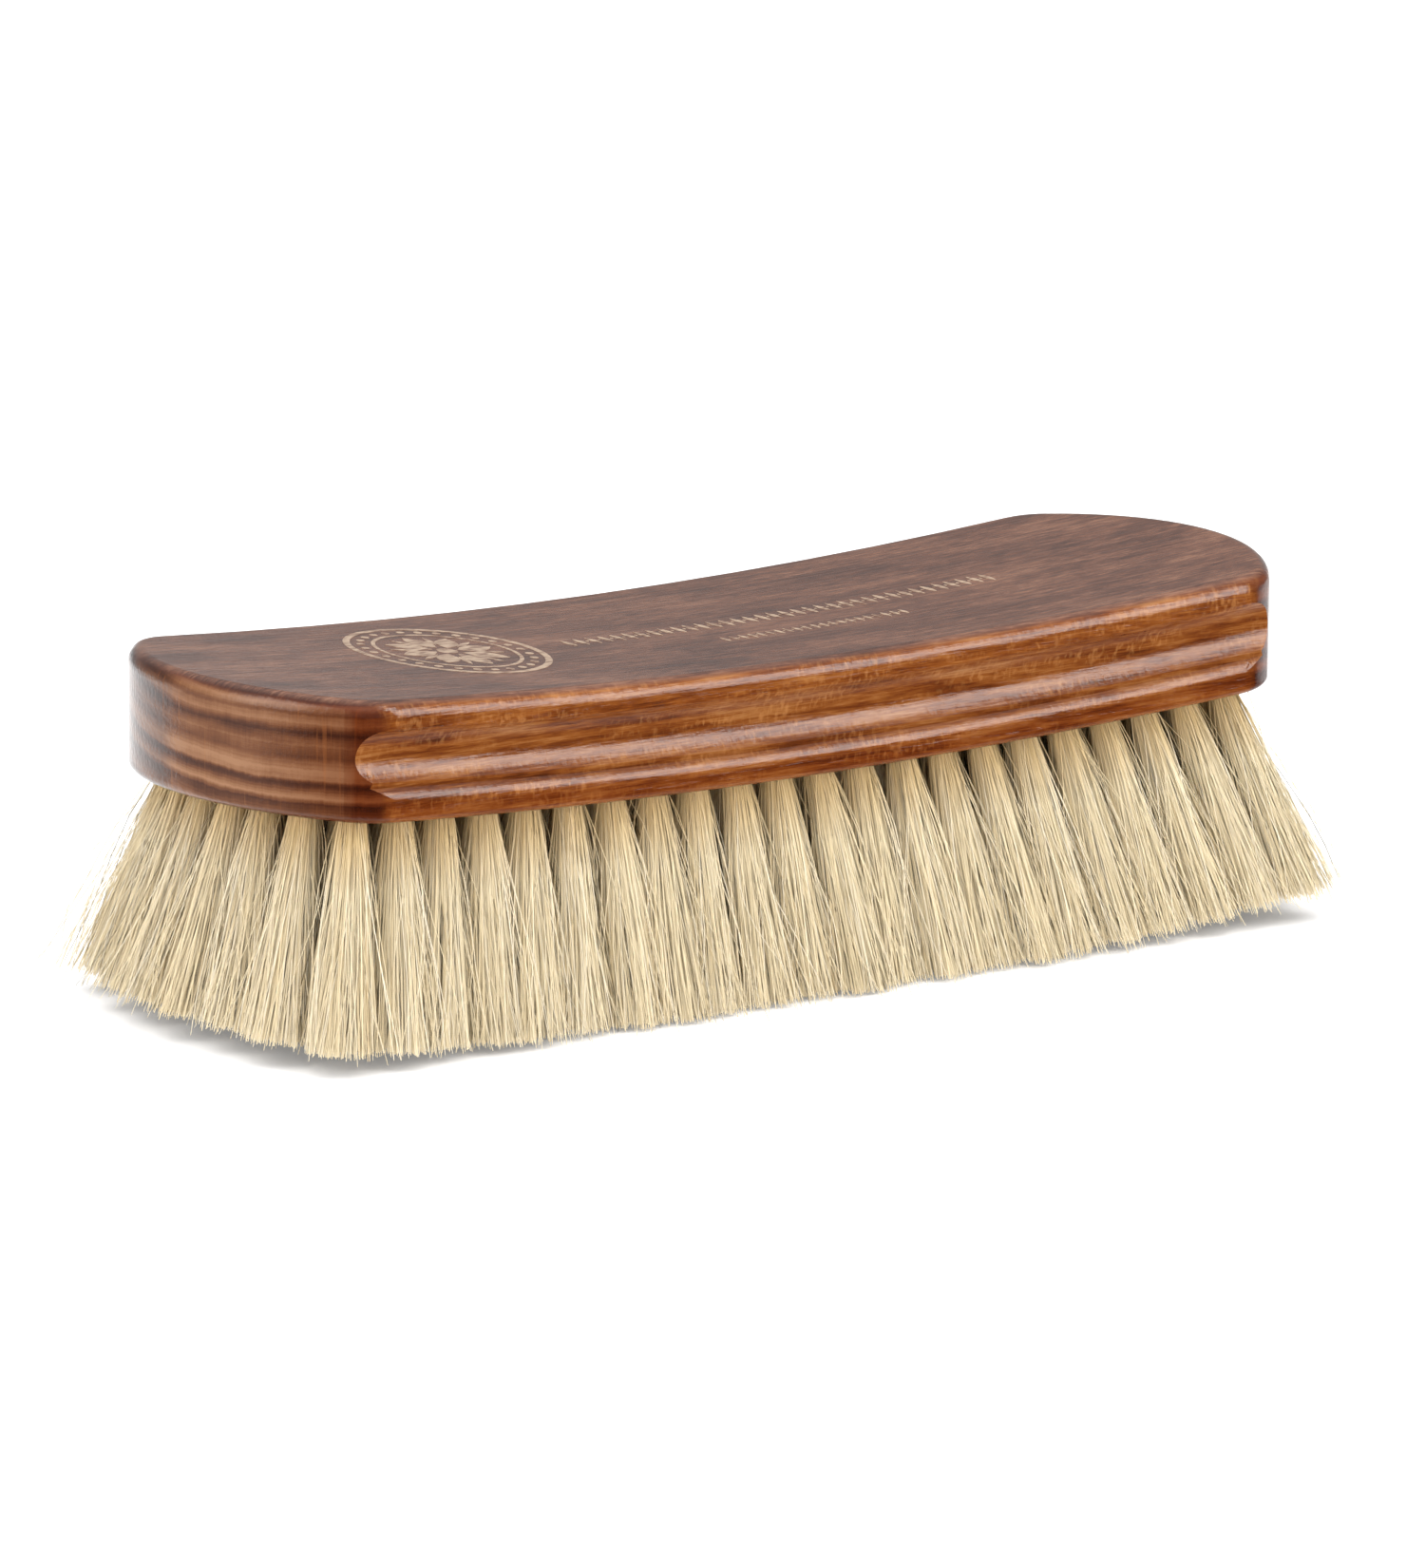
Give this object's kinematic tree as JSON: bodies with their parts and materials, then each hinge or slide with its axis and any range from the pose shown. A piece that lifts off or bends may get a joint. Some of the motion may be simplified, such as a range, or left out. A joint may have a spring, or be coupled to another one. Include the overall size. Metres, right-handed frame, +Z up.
{
  "type": "clothes brush",
  "caption": "Hand brush with a bowed, moulded wooden block and a dense flared field of pale horsehair, for brushing and polishing by hand.",
  "frame": {"origin": "in the plane of the hair tips the brush stands on, under the middle of the block", "axes": "+X along the block, +Y across it, +Z up from the hair tips to the top of the block"},
  "size_m": [0.183, 0.0656, 0.0502],
  "materials": {
    "stained_beech": "brown stain under gloss varnish",
    "horsehair": "natural blond hair",
    "anchor_wire": "plain flat wire"
  },
  "bodies": {
    "root": {"block": "stained_beech", "tufts_01": "horsehair", "tufts_02": "horsehair", "tufts_03": "horsehair", "tufts_04": "horsehair", "tufts_05": "horsehair", "tufts_06": "horsehair", "tufts_07": "horsehair", "tufts_08": "horsehair", "tufts_09": "horsehair", "tufts_10": "horsehair", "tufts_11": "horsehair", "tufts_12": "horsehair", "tufts_13": "horsehair", "tufts_14": "horsehair", "tufts_15": "horsehair", "tufts_16": "horsehair", "tufts_17": "horsehair", "tufts_18": "horsehair", "tufts_19": "horsehair", "tufts_20": "horsehair", "tufts_21": "horsehair", "tufts_22": "horsehair", "tufts_23": "horsehair", "tufts_24": "horsehair", "anchors_01": "anchor_wire", "anchors_02": "anchor_wire", "anchors_03": "anchor_wire", "anchors_04": "anchor_wire", "anchors_05": "anchor_wire", "anchors_06": "anchor_wire", "anchors_07": "anchor_wire", "anchors_08": "anchor_wire", "anchors_09": "anchor_wire", "anchors_10": "anchor_wire", "anchors_11": "anchor_wire", "anchors_12": "anchor_wire", "anchors_13": "anchor_wire", "anchors_14": "anchor_wire", "anchors_15": "anchor_wire", "anchors_16": "anchor_wire", "anchors_17": "anchor_wire", "anchors_18": "anchor_wire", "anchors_19": "anchor_wire", "anchors_20": "anchor_wire", "anchors_21": "anchor_wire", "anchors_22": "anchor_wire", "anchors_23": "anchor_wire", "anchors_24": "anchor_wire"}
  },
  "joints": []
}
